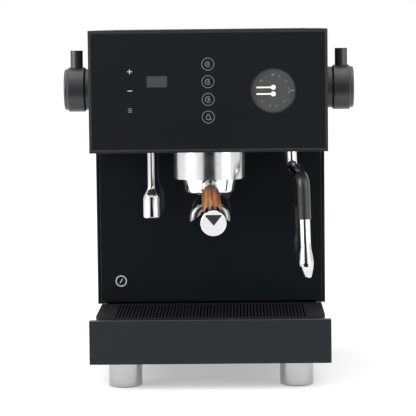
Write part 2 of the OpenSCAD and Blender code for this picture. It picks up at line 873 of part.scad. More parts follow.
module water_nut() {
    color("#b8babc") placed() translate([-water_x, water_y, 0]) difference() {
        translate([0, 0, floor_z]) cylinder(h = 17, r = 9);
        translate([0, 0, floor_z - 1]) cylinder(h = 12, r = water_tube_d / 2 + run_fit);
        translate([0, 0, floor_z + 10]) cylinder(h = 5, r = 6.5);
        translate([0, 0, floor_z + 14]) cylinder(h = 5, r = 2);
    }
}

// Outlet tube with a flared shoulder, a mixing nozzle and a retaining head inside the nut
module water_wand() {
    r = water_tube_d / 2;
    out = outlet_d / 2;
    shoulder = water_len - 37;
    color("#d8dadc") placed() translate([-water_x, water_y, head_z - water_len]) difference() {
        union() {
            rotate_extrude() polygon(concat(
                [[0, 0], [out - 2, 0]],
                [for (a = [0:15:90]) [out - 2 + 2 * sin(a), 2 - 2 * cos(a)]],
                [for (k = [0:6]) [out - (out - r) * (1 - cos(k * 30)) / 2, 20 + k * (shoulder - 20) / 6]],
                [[r, water_len + sheet_t + 12.4], [0, water_len + sheet_t + 12.4]]
            ));
            translate([0, 0, water_len + sheet_t + 10.4]) cylinder(h = 3, r = 6);
        }
        translate([0, 0, -1]) cylinder(h = 13, r = out - 1.6);
        translate([0, 0, 5]) cylinder(h = water_len + 20, r = 2.2);
    }
}

// ---- Knobs and valves ----

// Mirrors the right-hand parts for the left
module on_side(s) {
    if (s > 0) {
        children();
    } else {
        mirror([1, 0, 0]) children();
    }
}

module knob_collars() {
    color("#3a3b3e") placed() for (s = [-1, 1]) {
        on_side(s) difference() {
            along_x([half_w, knob_y, knob_z], knob_collar_d / 2, knob_collar_t);
            along_x([half_w - 1, knob_y, knob_z], spindle_r + run_fit, knob_collar_t + 2);
        }
    }
}

module valve(s) {
    placed() on_side(s) difference() {
        union() {
            along_x([inner_w - valve_len, knob_y, knob_z], valve_r, valve_len);
            translate([inner_w - valve_len + 12, knob_y, knob_z - valve_r - 4]) cylinder(h = 8, r = 5);
        }
        along_x([inner_w - 18, knob_y, knob_z], spindle_r + part_gap, 20);
    }
}

module water_valve() {
    color("#b5a27a") valve(-1);
}

module steam_valve() {
    color("#b5a27a") valve(1);
}

// Ring with its lever and its spindle through the casing
module knob(s) {
    r = knob_d / 2;
    edge = 1.5;
    placed() on_side(s) {
        translate([knob_in, knob_y, knob_z]) rotate([0, 90, 0]) rotate_extrude() polygon([
            [0, 0], [r - edge, 0], [r, edge], [r, knob_t - edge], [r - edge, knob_t], [0, knob_t],
        ]);
        translate([knob_in + knob_t / 2, knob_y, knob_z]) cylinder(h = r + lever_len, r = lever_d / 2);
        along_x([inner_w - 16, knob_y, knob_z], spindle_r, knob_in - inner_w + 16 + 1);
    }
}

module knob_cap(s) {
    r = knob_collar_d / 2;
    placed() on_side(s) translate([knob_in + knob_t, knob_y, knob_z]) rotate([0, 90, 0]) rotate_extrude()
        polygon(concat([[0, 0], [r, 0], [r, 1.6]],
            [for (a = [15:15:90]) [r - 2.2 * (1 - cos(a)), 1.6 + (knob_cap_t - 1.9) * sin(a)]],
            [[0, knob_cap_t]]));
}

module steam_knob() {
    color("#4a4b4f") knob(1);
}

module water_knob() {
    color("#4a4b4f") knob(-1);
}

module steam_knob_cap() {
    color("#56575b") knob_cap(1);
}

module water_knob_cap() {
    color("#56575b") knob_cap(-1);
}

// ---- Gauge ----

module gauge_can() {
    color("#2e3033") placed() difference() {
        along_y([gauge_x, glass_back, gauge_z], gauge_d / 2 + 1.8, can_depth);
        along_y([gauge_x, glass_back - 1, gauge_z], gauge_d / 2 + 0.1, can_depth - 1);
    }
}

module gauge_dial() {
    color("#4a4a48") placed() difference() {
        union() {
            along_y([gauge_x, dial_y, gauge_z], gauge_d / 2 - 0.1, dial_t);
            along_y([gauge_x, dial_y + dial_t - eps, gauge_z], 11,
                glass_back + can_depth - 2 - dial_y - dial_t);
        }
        for (s = [-1, 1]) {
            along_y([gauge_x, dial_y - 1, gauge_z + s * needle_offset], post_r + run_fit, 7);
        }
    }
}

module gauge_lens() {
    color("#c9dbe0", 0.3) placed() along_y([gauge_x, glass_y, gauge_z], gauge_d / 2 - 0.1, 0.8);
}

// Needle that points to -X from its pivot, with a hub and a post into the dial
module needle(s) {
    placed() translate([gauge_x, 0, gauge_z + s * needle_offset]) {
        along_y([0, needle_y, 0], hub_r, 1.5);
        along_y([0, needle_y + 1.5 - eps, 0], post_r, 5);
        box([-needle_len, needle_y + 0.5, -needle_w / 2], [0, needle_y + 1.1, needle_w / 2]);
    }
}

module upper_needle() {
    color("#f0eee4") needle(1);
}

module lower_needle() {
    color("#f0eee4") needle(-1);
}

// ---- Inside the casing ----

// A cast heater block with fins on top and legs to the bulkhead
module heater(at, size, ribs) {
    step = size[0] / ribs;
    translate(at) {
        cube([size[0], size[1], size[2] - 6]);
        for (i = [0:ribs - 1]) {
            translate([i * step + step * 0.25, 0, size[2] - 6 - eps]) cube([step * 0.5, size[1], 6 + eps]);
        }
        for (x = [8, size[0] - 16], z = [8, size[2] - 22]) {
            translate([x, size[1] - eps, z]) cube([8, bulkhead_y - at[1] - size[1] + eps, 8]);
        }
    }
}

module coffee_thermoblock() {
    color("#a9abad") placed() heater(coffee_at, coffee_block, 9);
}

module steam_thermoblock() {
    color("#a9abad") placed() heater(steam_at, steam_block, 8);
}

// Two vibration pumps on the base pan
module pumps() {
    color("#5a5d61") placed() for (s = [-1, 1]) {
        on_side(s) {
            along_x([pump_x, pump_y, pump_z], pump_r - 4, pump_len);
            along_x([pump_x + 14, pump_y, pump_z], pump_r, pump_len - 40);
            box([pump_x + 18, pump_y - 12, base_z + sheet_t],
                [pump_x + pump_len - 31, pump_y + 12, pump_z - 8]);
        }
    }
}

module solenoid_valve() {
    y = group_y + collar_d / 2 + 11;
    color("#6a6d70") placed() {
        box([-12, y - 12, floor_z], [12, y + 12, floor_z + 22]);
        translate([0, y, floor_z + 22 - eps]) cylinder(h = 30, r = 11);
    }
}

// Electronics behind the control glass
module control_board() {
    y = glass_back + 6;
    z = gauge_z - 26;
    color("#1f5a38") placed() {
        box([board_left, y, z], [board_right, y + 1.6, z + board_h]);
        for (x = [board_left + 14, -40, board_right - 26]) {
            box([x, y + 1.6 - eps, z + 12], [x + 18, y + 9, z + 30]);
            box([x - 4, y + 1.6 - eps, z + 44], [x + 8, y + 6, z + 62]);
        }
        for (x = [board_left + 4, board_right - 6], up = [4, board_h - 8]) {
            along_y([x, glass_back, z + up], 3, 6 + eps);
        }
    }
}

// Socket for the mains lead, with three blades
module power_inlet() {
    color("#151617") placed() translate([inlet_x, 0, inlet_z]) {
        difference() {
            union() {
                box([-inlet_w / 2, rear_y - 24, -inlet_h / 2], [inlet_w / 2, rear_y + eps, inlet_h / 2]);
                box([-inlet_w / 2 - 3, rear_y, -inlet_h / 2 - 3],
                    [inlet_w / 2 + 3, rear_y + 1.8, inlet_h / 2 + 3]);
            }
            box([-12.2, rear_y - 17, -8.2], [12.2, rear_y + 3, 8.2]);
        }
        for (p = [[-7, -2], [0, 2], [7, -2]]) {
            box([p[0] - 1, rear_y - 18, p[1] - 2], [p[0] + 1, rear_y - 6, p[1] + 2]);
        }
    }
}

module switch_bezel() {
    color("#151617") placed() translate([switch_x, 0, inlet_z]) difference() {
        union() {
            box([-switch_w / 2, rear_y - 14, -switch_h / 2], [switch_w / 2, rear_y + eps, switch_h / 2]);
            box([-switch_w / 2 - 1.5, rear_y, -switch_h / 2 - 1.5],
                [switch_w / 2 + 1.5, rear_y + 0.8, switch_h / 2 + 1.5]);
        }
        box([-switch_w / 2 + 1.1, rear_y - 12.6, -switch_h / 2 + 1.1],
            [switch_w / 2 - 1.1, rear_y + 2, switch_h / 2 - 1.1]);
        along_x([-switch_w / 2 + 0.4, rocker_y, 0], pin_r + run_fit, switch_w - 0.8);
    }
}

module power_rocker() {
    half = switch_w / 2 - 1.1 - part_gap;
    tall = switch_h / 2 - 1.1 - 1.2;
    color("#26272a") placed() translate([switch_x, rocker_y, inlet_z]) {
        rotate([-rocker_tilt, 0, 0]) box([-half, -3, -tall], [half, 7.2, tall]);
        along_x([-half - 0.9, 0, 0], pin_r, 2 * half + 1.8);
    }
}

// Copper lines between pumps, heaters, valves, group and wands, and the hose from the tank
module water_lines() {
    left = coffee_at[0] - 12;
    coffee_z = coffee_at[2] + 30;
    lower_y = steam_at[1] + steam_block[1];
    steam_top = steam_at[2] + steam_block[2];
    riser = steam_at[1] + 12;
    valve_in = inner_w - valve_len;
    port = valve_in + 12;
    tap = valve_in - 8.5;
    feed_x = 57;
    hot_x = 30;
    brew_x = 20;
    port_z = knob_z - valve_r - 4;
    under = floor_z + 3.5;
    color("#b06a3c") placed() {
        pipe([[left, pump_y - pump_r, pump_z], [left, lower_y + 12, pump_z], [left, lower_y + 12, coffee_z],
            [left, lower_y, coffee_z], [coffee_at[0], lower_y, coffee_z]], line_r);
        pipe([[feed_x, pump_y - pump_r, pump_z], [feed_x, lower_y + 12, pump_z],
            [feed_x, lower_y + 12, steam_at[2] + 40], [feed_x, lower_y, steam_at[2] + 40]], line_r);
        pipe([[tap, riser, steam_top], [tap, riser, knob_z], [tap, knob_y, knob_z],
            [valve_in, knob_y, knob_z]], line_r);
        pipe([[port, knob_y, port_z], [port, knob_y, port_z - 10], [steam_x, steam_y, port_z - 10],
            [steam_x, steam_y, steam_nut_top + nut_roof]], line_r);
        pipe([[hot_x, riser, steam_top], [hot_x, riser, under], [-tap, riser, under],
            [-tap, riser, knob_z], [-tap, knob_y, knob_z], [-valve_in, knob_y, knob_z]], line_r);
        pipe([[-port, knob_y, port_z], [-port, knob_y, port_z - 12], [-water_x, water_y, port_z - 12],
            [-water_x, water_y, floor_z + 17]], line_r);
        pipe([[brew_x, coffee_at[1], coffee_z + 10], [brew_x, group_y, coffee_z + 10],
            [brew_x, group_y, floor_z + group_h]], line_r);
        pipe([[0, outlet_y, seat_z - 12], [0, outlet_y, pump_z], [0, pump_y, pump_z]], line_r);
    }
}

// ---- Drip tray ----

// Folded front panel
module tray_front() {
    t = 2;
    w = half_w + tray_over;
    color("#303236") placed() {
        box([-w, 0, base_z], [w, t, tray_top]);
        box([-w, t - eps, tray_top - sheet_t], [w, tray_fold, tray_top]);
        box([-w, t - eps, base_z], [w, tray_fold, base_z + sheet_t]);
        for (x = [-w, w - sheet_t]) {
            box([x, t - eps, base_z], [x + sheet_t, tray_fold, tray_top]);
        }
    }
}

// Tub under the grid, with a narrower tail under the column
module drip_tub() {
    color("#24262a") placed() difference() {
        union() {
            translate([0, 0, tub_floor]) linear_extrude(tub_rim - tub_floor) tub_outline(0);
            box([-tail_half, tub_back - 1, tub_floor], [tail_half, tail_back, tail_top]);
        }
        translate([0, 0, tub_floor + tub_wall]) linear_extrude(tray_h) tub_outline(tub_wall);
        box([-tail_half + tub_wall, tub_back - 6, tub_floor + tub_wall],
            [tail_half - tub_wall, tail_back - tub_wall, tray_top + 5]);
    }
}

// Slotted plate with a locating lip inside the tub
module drip_grid() {
    lip = tub_wall + part_gap;
    color("#2b2d31") placed() difference() {
        union() {
            translate([0, 0, tub_rim]) linear_extrude(grid_t) tub_outline(0);
            difference() {
                translate([0, 0, tub_rim - 3]) linear_extrude(3 + eps) tub_outline(lip);
                translate([0, 0, tub_rim - 4]) linear_extrude(6) tub_outline(lip + 1.5);
                box([-tail_half - 2, tub_back - 20, tub_rim - 4], [tail_half + 2, tub_back + 1, tub_rim]);
            }
        }
        for (i = [0:slot_count - 1]) {
            x = (i - (slot_count - 1) / 2) * slot_pitch;
            box([x - slot_w / 2, slot_front, tub_rim - 5],
                [x + slot_w / 2, slot_front + slot_len, grid_z + 1]);
        }
    }
}

// ---- Water tank ----

// Tank shell with two ears and the moulded hinge pin between them, and an outlet below
module water_tank() {
    ear = 5;
    w = tank_w / 2;
    color("#9fb4bd", 0.5) placed() difference() {
        union() {
            box([-w, tank_y, tank_z], [w, tank_back, tank_top]);
            for (s = [-1, 1]) {
                box([s * ear_x - ear / 2, lid_axis_y - barrel_r, tank_top - 20],
                    [s * ear_x + ear / 2, tank_back + 2, lid_axis_z]);
                along_x([s * ear_x - ear / 2, lid_axis_y, lid_axis_z], barrel_r, ear);
            }
            along_x([-ear_x, lid_axis_y, lid_axis_z], pin_r, 2 * ear_x);
            translate([0, outlet_y, tank_z - 9]) cylinder(h = 10, r = outlet_r);
        }
        box([-w + tank_wall, tank_y + tank_wall, tank_z + tank_wall],
            [w - tank_wall, tank_back - tank_wall - 2, tank_top + 1]);
        translate([0, outlet_y, tank_z - 10]) cylinder(h = 20, r = 4);
    }
}

// Lid with a barrel between the tank's ears
module tank_lid() {
    w = tank_w / 2 + 2;
    barrel = ear_x - 3.5;
    plate_back = lid_axis_y - barrel_r - 0.8;
    color("#1e1f22") placed() difference() {
        union() {
            box([-w, tank_y - 2, lid_z], [w, plate_back, lid_z + lid_t]);
            box([-barrel, plate_back - eps, lid_z + 1.5], [barrel, lid_axis_y, lid_z + 4.5]);
            along_x([-barrel, lid_axis_y, lid_axis_z], barrel_r, 2 * barrel);
        }
        box([-w + 3, tank_y + 1, lid_z - 1], [w - 3, plate_back - 3, lid_z + lid_t - 2.5]);
        along_x([-barrel - 1, lid_axis_y, lid_axis_z], pin_r + run_fit, 2 * barrel + 2);
        box([-14, tank_y - 3, lid_z + lid_t - 2], [14, tank_y + 6, lid_z + lid_t + 1]);
    }
}

base_pan();
left_side_panel();
right_side_panel();
rear_panel();
top_frame();
cup_tray();
head_underside();
head_bezel();
control_glass();
display_window();
splash_glass();
column_plate();
inner_bulkhead();
tank_seat();
feet();
foot_pads();
casing_screws();
group_body();
group_collar();
group_gasket();
shower_screen();
steam_nut();
water_nut();
knob_collars();
water_valve();
steam_valve();
gauge_can();
gauge_dial();
gauge_lens();
coffee_thermoblock();
steam_thermoblock();
pumps();
solenoid_valve();
control_board();
power_inlet();
switch_bezel();
water_lines();
tray_front();
drip_tub();
drip_grid();
water_tank();
tank_lid();
portafilter_bowl();
filter_basket();
double_spout();
handle_ferrule();
handle_grip();
handle_cap();
steam_swivel();
steam_tube();
steam_grip();
steam_tip();
water_wand();
steam_knob();
steam_knob_cap();
water_knob();
water_knob_cap();
upper_needle();
lower_needle();
power_rocker();
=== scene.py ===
import math
import bmesh
import bpy
from mathutils import Matrix, Vector


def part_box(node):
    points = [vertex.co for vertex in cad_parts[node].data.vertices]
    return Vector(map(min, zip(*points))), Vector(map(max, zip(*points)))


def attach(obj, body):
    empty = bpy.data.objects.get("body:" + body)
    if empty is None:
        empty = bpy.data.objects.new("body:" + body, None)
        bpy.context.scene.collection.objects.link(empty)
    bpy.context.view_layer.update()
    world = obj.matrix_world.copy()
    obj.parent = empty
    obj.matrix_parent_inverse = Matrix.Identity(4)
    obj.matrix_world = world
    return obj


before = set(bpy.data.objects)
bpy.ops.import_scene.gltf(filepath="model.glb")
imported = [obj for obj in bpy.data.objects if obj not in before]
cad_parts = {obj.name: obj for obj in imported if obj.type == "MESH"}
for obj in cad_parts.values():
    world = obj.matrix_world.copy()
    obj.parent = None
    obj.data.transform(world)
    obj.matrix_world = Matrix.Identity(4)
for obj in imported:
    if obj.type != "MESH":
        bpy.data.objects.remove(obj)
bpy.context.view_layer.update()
mm = 0.001  # lengths below are in millimetres and turned to metres with this
print("loaded", len(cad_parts), "nodes")


class Wire:
    # the output of a shader node, usable in sums with other wires and numbers
    def __init__(self, finish, socket):
        self.finish = finish
        self.socket = socket

    def join(self, operation, a, b):
        return self.finish.add("ShaderNodeMath", {"operation": operation}, {0: a, 1: b})

    def __add__(self, other):
        return self.join("ADD", self, other)

    def __mul__(self, other):
        return self.join("MULTIPLY", self, other)

    __radd__ = __add__
    __rmul__ = __mul__


class Finish:
    # one material: a Principled shader, fixed values on its sockets, and nodes that feed it
    def __init__(self, name, **fixed):
        self.material = bpy.data.materials.new(name)
        self.material.use_nodes = True
        self.tree = self.material.node_tree
        self.tree.nodes.clear()
        self.end = self.tree.nodes.new("ShaderNodeOutputMaterial")
        self.skin = self.tree.nodes.new("ShaderNodeBsdfPrincipled")
        self.tree.links.new(self.skin.outputs[0], self.end.inputs[0])
        for key, value in fixed.items():
            self.feed(key.replace("_", " "), value)

    def plug(self, socket, value):
        if isinstance(value, Wire):
            self.tree.links.new(value.socket, socket)
        else:
            socket.default_value = value

    def feed(self, name, value):
        self.plug(self.skin.inputs[name], value)

    def add(self, kind, settings=None, inputs=None, output=0):
        node = self.tree.nodes.new(kind)
        for key, value in (settings or {}).items():
            if key == "stops":
                while len(node.color_ramp.elements) < len(value):
                    node.color_ramp.elements.new(1)
                for stop, (place, colour) in zip(node.color_ramp.elements, value):
                    stop.position = place
                    stop.color = colour
            else:
                setattr(node, key, value)
        for key, value in (inputs or {}).items():
            self.plug(node.inputs[key], value)
        return Wire(self, node.outputs[output])

    def place(self, scale=(1, 1, 1), turn=(0, 0, 0)):
        where = self.add("ShaderNodeTexCoord", output=3)
        return self.add("ShaderNodeMapping", None, {0: where, "Scale": scale, "Rotation": turn})

    def noise(self, where, scale, detail=3, rough=0.5):
        return self.add("ShaderNodeTexNoise", None,
                        {"Vector": where, "Scale": scale, "Detail": detail, "Roughness": rough})

    def fit(self, value, low, high, toLow, toHigh):
        return self.add("ShaderNodeMapRange", None, {0: value, 1: low, 2: high, 3: toLow, 4: toHigh})

    def tint(self, factor, a, b):
        return self.add("ShaderNodeMix", {"data_type": "RGBA"}, {0: factor, 6: a, 7: b}, output=2)

    def bump(self, height, strength, distance):
        self.feed("Normal", self.add(
            "ShaderNodeBump", None, {"Height": height, "Strength": strength, "Distance": distance}))


def grey(value, blue=0):
    return (value, value, value * (1 + blue), 1)


def powderCoat(name, dark, light, rough=0.42, level=0.45):
    m = Finish(name, Metallic=0.0, Specular_IOR_Level=level)
    where = m.place()
    cloud = m.noise(where, 14, 3)
    grain = m.noise(where, 2600, 2)
    m.feed("Base Color", m.tint(cloud, dark, light))
    m.feed("Roughness", m.fit(grain, 0.3, 0.7, rough - 0.05, rough + 0.05))
    m.bump(grain + m.noise(where, 700, 2) * 0.6, 0.10, 0.00012)
    return m.material


def blackGlass(name, dark, light, level=0.3):
    m = Finish(name, Metallic=0.0, Specular_IOR_Level=level)
    where = m.place()
    m.feed("Base Color", m.tint(m.noise(where, 5, 2), dark, light))
    wipe = m.noise(m.place((1.0, 1.0, 0.25), (0, 0.5, 0)), 30, 4, 0.6)
    m.feed("Roughness", m.fit(wipe, 0.35, 0.75, 0.035, 0.09))
    m.bump(m.noise(where, 3.0, 1), 0.04, 0.0008)
    return m.material


def brushedSteel(name, colour, stretch, rough=0.26, depth=0.25):
    m = Finish(name, Metallic=1.0, Anisotropic=0.35)
    streak = m.noise(m.place(stretch), 900, 3, 0.65)
    broad = m.noise(m.place(stretch), 130, 2)
    m.feed("Base Color", m.tint(streak, tuple(c * 0.86 for c in colour[:3]) + (1,), colour))
    m.feed("Roughness", m.fit(streak + broad * 0.5, 0.45, 1.05, rough - 0.07, rough + 0.09))
    m.bump(streak, depth, 0.00005)
    return m.material


def polishedSteel(name, colour, rough=0.06, spread=0.06):
    m = Finish(name, Metallic=1.0)
    where = m.place()
    haze = m.noise(where, 60, 3)
    hairline = m.noise(m.place((1, 1, 0.04)), 1500, 2, 0.7)
    m.feed("Base Color", m.tint(haze, tuple(c * 0.94 for c in colour[:3]) + (1,), colour))
    m.feed("Roughness", m.fit(haze + hairline * 0.6, 0.5, 1.1, rough, rough + spread))
    m.bump(hairline, 0.05, 0.00003)
    return m.material


def anodised(name, dark, light):
    m = Finish(name, Metallic=0.85, Specular_IOR_Level=0.5)
    where = m.place()
    blast = m.noise(where, 3200, 2)
    m.feed("Base Color", m.tint(m.noise(where, 25, 2), dark, light))
    m.feed("Roughness", m.fit(blast, 0.3, 0.7, 0.34, 0.46))
    m.bump(blast, 0.12, 0.00006)
    return m.material


def plastic(name, dark, light, rough=0.45, grainScale=1800):
    m = Finish(name, Metallic=0.0)
    where = m.place()
    grain = m.noise(where, grainScale, 2)
    m.feed("Base Color", m.tint(m.noise(where, 18, 2), dark, light))
    m.feed("Roughness", m.fit(grain, 0.3, 0.7, rough - 0.07, rough + 0.07))
    m.bump(grain, 0.15, 0.00008)
    return m.material


def rubber(name, value):
    m = Finish(name, Metallic=0.0, Specular_IOR_Level=0.55)
    where = m.place()
    grain = m.noise(where, 1400, 3)
    m.feed("Base Color", m.tint(m.noise(where, 40, 2), grey(value * 0.8), grey(value * 1.25)))
    m.feed("Roughness", m.fit(grain, 0.3, 0.7, 0.26, 0.38))
    m.bump(grain, 0.12, 0.00008)
    return m.material


def cleanMetal(name, colour, rough):
    m = Finish(name, Metallic=1.0)
    where = m.place()
    stain = m.noise(where, 45, 4, 0.6)
    m.feed("Base Color", m.tint(stain, tuple(c * 0.7 for c in colour[:3]) + (1,), colour))
    m.feed("Roughness", m.fit(stain, 0.3, 0.7, rough - 0.08, rough + 0.1))
    m.bump(m.noise(where, 600, 3), 0.2, 0.0001)
    return m.material


def smokedPlastic(name):
    m = Finish(name, Metallic=0.0, IOR=1.45)
    where = m.place()
    film = m.noise(where, 30, 3)
    m.feed("Base Color", m.tint(film, (0.16, 0.2, 0.23, 1), (0.22, 0.27, 0.3, 1)))
    m.feed("Roughness", m.fit(film, 0.3, 0.7, 0.08, 0.2))
    m.feed("Alpha", m.fit(film, 0.2, 0.8, 0.42, 0.5))
    m.bump(m.noise(where, 200, 2), 0.05, 0.0001)
    return m.material


def clearGlass(name):
    m = Finish(name, Metallic=0.0, IOR=1.45)
    dust = m.noise(m.place(), 400, 3, 0.7)
    m.feed("Base Color", m.tint(dust, (0.02, 0.022, 0.024, 1), (0.05, 0.055, 0.06, 1)))
    m.feed("Roughness", m.fit(dust, 0.3, 0.7, 0.02, 0.07))
    m.feed("Alpha", m.fit(dust, 0.5, 0.9, 0.05, 0.09))
    return m.material


def printInk(name, colour, glow=0.0):
    m = Finish(name, Metallic=0.0)
    speck = m.noise(m.place(), 3500, 3)
    m.feed("Base Color", m.tint(speck, tuple(c * 0.8 for c in colour[:3]) + (1,), colour))
    m.feed("Roughness", m.fit(speck, 0.3, 0.7, 0.35, 0.5))
    if glow:
        m.feed("Emission Color", m.tint(speck, tuple(c * 0.8 for c in colour[:3]) + (1,), colour))
        m.feed("Emission Strength", glow)
    return m.material


# the handle's own direction, for the grain and for what is built along it
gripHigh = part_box("handle_grip")[1]
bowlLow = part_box("portafilter_bowl")[0]
collarLow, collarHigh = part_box("group_collar")
groupAxis = Vector(((collarLow.x + collarHigh.x) / 2, (collarLow.y + collarHigh.y) / 2, 0))


def capFace():
    # the middle and the outward direction of the handle's flat end
    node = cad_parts["handle_cap"]
    out = min((face.normal for face in node.data.polygons), key=lambda normal: normal.y).copy()
    rim = [node.matrix_world @ node.data.vertices[i].co
           for face in node.data.polygons if face.normal.dot(out) > 0.999 for i in face.vertices]
    low = Vector([min(point[i] for point in rim) for i in range(3)])
    high = Vector([max(point[i] for point in rim) for i in range(3)])
    return (low + high) / 2, out


faceMid, handleOut = capFace()
handleTilt = math.atan2(-handleOut.z, -handleOut.y)


def oiledWood(name):
    m = Finish(name, Metallic=0.0, Specular_IOR_Level=0.1, Coat_Roughness=0.25)
    along = m.place((1, 0.09, 1), (handleTilt, 0, 0))
    warp = m.noise(along, 60, 3, 0.5)
    rings = m.add("ShaderNodeTexWave", {"wave_type": "BANDS", "bands_direction": "X"},
                  {"Vector": along, "Scale": 62, "Distortion": 7.5, "Detail": 3, "Detail Scale": 1.4,
                   "Detail Roughness": 0.6}, output=1)
    pores = m.noise(m.place((1, 0.035, 1), (handleTilt, 0, 0)), 1500, 3, 0.7)
    base = m.add("ShaderNodeValToRGB", {"stops": [
        (0.0, (0.05, 0.016, 0.007, 1)), (0.3, (0.17, 0.06, 0.02, 1)),
        (0.62, (0.29, 0.108, 0.036, 1)), (1.0, (0.42, 0.17, 0.062, 1))]},
        {0: rings * 0.55 + warp * 0.45})
    # painted shade: the wood darkens towards the ferrule
    depth = m.add("ShaderNodeSeparateXYZ", None, {0: m.add("ShaderNodeTexCoord", output=3)}, output=1)
    ferruleShade = m.fit(depth + warp * 0.012, gripHigh.y - 0.06, gripHigh.y - 0.012, 0, 0.94)
    shaded = m.tint(ferruleShade, base, (0.035, 0.018, 0.009, 1))
    m.feed("Base Color", m.tint(m.fit(pores, 0.58, 0.72, 0, 0.55), shaded, (0.09, 0.028, 0.009, 1)))
    m.feed("Roughness", m.fit(pores, 0.3, 0.75, 0.5, 0.68))
    m.feed("Coat Weight", m.fit(warp, 0.3, 0.7, 0.0, 0.05))
    m.bump(pores, 0.25, 0.00012)
    return m.material


def dialFace(name):
    m = Finish(name, Metallic=0.0, Specular_IOR_Level=0.3)
    where = m.place()
    fleck = m.noise(where, 2400, 3)
    m.feed("Base Color", m.tint(fleck, grey(0.045), grey(0.062)))
    m.feed("Roughness", m.fit(fleck, 0.3, 0.7, 0.5, 0.65))
    m.bump(fleck, 0.1, 0.00004)
    return m.material


finishes = {
    "caseBlack": powderCoat("caseBlack", grey(0.0085), grey(0.013), 0.4),
    "trayBlack": powderCoat("trayBlack", (0.0085, 0.0095, 0.0125, 1), (0.012, 0.013, 0.0165, 1), 0.5, 0.2),
    "gridBlack": powderCoat("gridBlack", grey(0.012, 0.15), grey(0.016, 0.15), 0.6, 0.03),
    # painted highlight: a light grey coat for the lit top edge of the tray's front
    "edgeHighlight": powderCoat("edgeHighlight", grey(0.14, 0.1), grey(0.2, 0.1), 0.3),
    "controlGlass": blackGlass("controlGlass", (0.0078, 0.0086, 0.0096, 1), (0.0098, 0.011, 0.0125, 1)),
    "splashGlass": blackGlass("splashGlass", (0.0062, 0.0078, 0.009, 1), (0.008, 0.0098, 0.011, 1)),
    "displaySmoke": blackGlass("displaySmoke", (0.042, 0.042, 0.05, 1), (0.052, 0.05, 0.06, 1), 0.4),
    "footSteel": brushedSteel("footSteel", (0.45, 0.45, 0.45, 1), (0.05, 0.05, 1), 0.12, 0.05),
    "collarSteel": brushedSteel("collarSteel", (0.66, 0.66, 0.66, 1), (0.05, 0.05, 1), 0.17, 0.05),
    "chrome": polishedSteel("chrome", (0.86, 0.86, 0.87, 1)),
    "mirrorSteel": polishedSteel("mirrorSteel", (0.9, 0.9, 0.91, 1), 0.012, 0.02),
    "wandSteel": polishedSteel("wandSteel", (0.64, 0.64, 0.65, 1), 0.05),
    # painted shade: the double spout's polished steel is darkened for its shaded mouths
    "shadedSpoutSteel": polishedSteel("shadedSpoutSteel", (0.26, 0.26, 0.27, 1), 0.16),
    "bezelDark": powderCoat("bezelDark", grey(0.015, 0.1), grey(0.02, 0.1), 0.36),
    "darkChrome": polishedSteel("darkChrome", (0.16, 0.16, 0.17, 1), 0.08),
    "screwSteel": polishedSteel("screwSteel", (0.7, 0.7, 0.7, 1), 0.2),
    "knobGrey": anodised("knobGrey", grey(0.055, 0.04), grey(0.075, 0.04)),
    "capGrey": anodised("capGrey", grey(0.075, 0.04), grey(0.095, 0.04)),
    "blackPlastic": plastic("blackPlastic", grey(0.012), grey(0.02)),
    "boardGreen": plastic("boardGreen", (0.012, 0.08, 0.035, 1), (0.02, 0.12, 0.05, 1), 0.4, 900),
    "gripRubber": rubber("gripRubber", 0.016),
    "footRubber": rubber("footRubber", 0.012),
    "sealRubber": plastic("sealRubber", (0.25, 0.07, 0.03, 1), (0.36, 0.11, 0.05, 1), 0.5, 900),
    "castAluminium": cleanMetal("castAluminium", (0.62, 0.63, 0.64, 1), 0.45),
    "zincSheet": cleanMetal("zincSheet", (0.55, 0.56, 0.58, 1), 0.38),
    "brass": cleanMetal("brass", (0.72, 0.52, 0.24, 1), 0.3),
    "copper": cleanMetal("copper", (0.78, 0.38, 0.22, 1), 0.28),
    "tankSmoke": smokedPlastic("tankSmoke"),
    "lensClear": clearGlass("lensClear"),
    "wood": oiledWood("oiledWood"),
    "dial": dialFace("dialFace"),
    "needleCream": printInk("needleCream", (0.86, 0.84, 0.76, 1), 0.25),
    "iconGrey": printInk("iconGrey", (0.13, 0.145, 0.15, 1), 0.12),
    "iconBright": printInk("iconBright", (0.36, 0.40, 0.41, 1), 0.25),
    "inkBlue": printInk("inkBlue", (0.26, 0.34, 0.37, 1), 0.15),
    "inkGrey": printInk("inkGrey", (0.22, 0.23, 0.23, 1), 0.1),
    "inkYellow": printInk("inkYellow", (0.26, 0.26, 0.09, 1), 0.1),
}
print("finishes:", len(finishes))

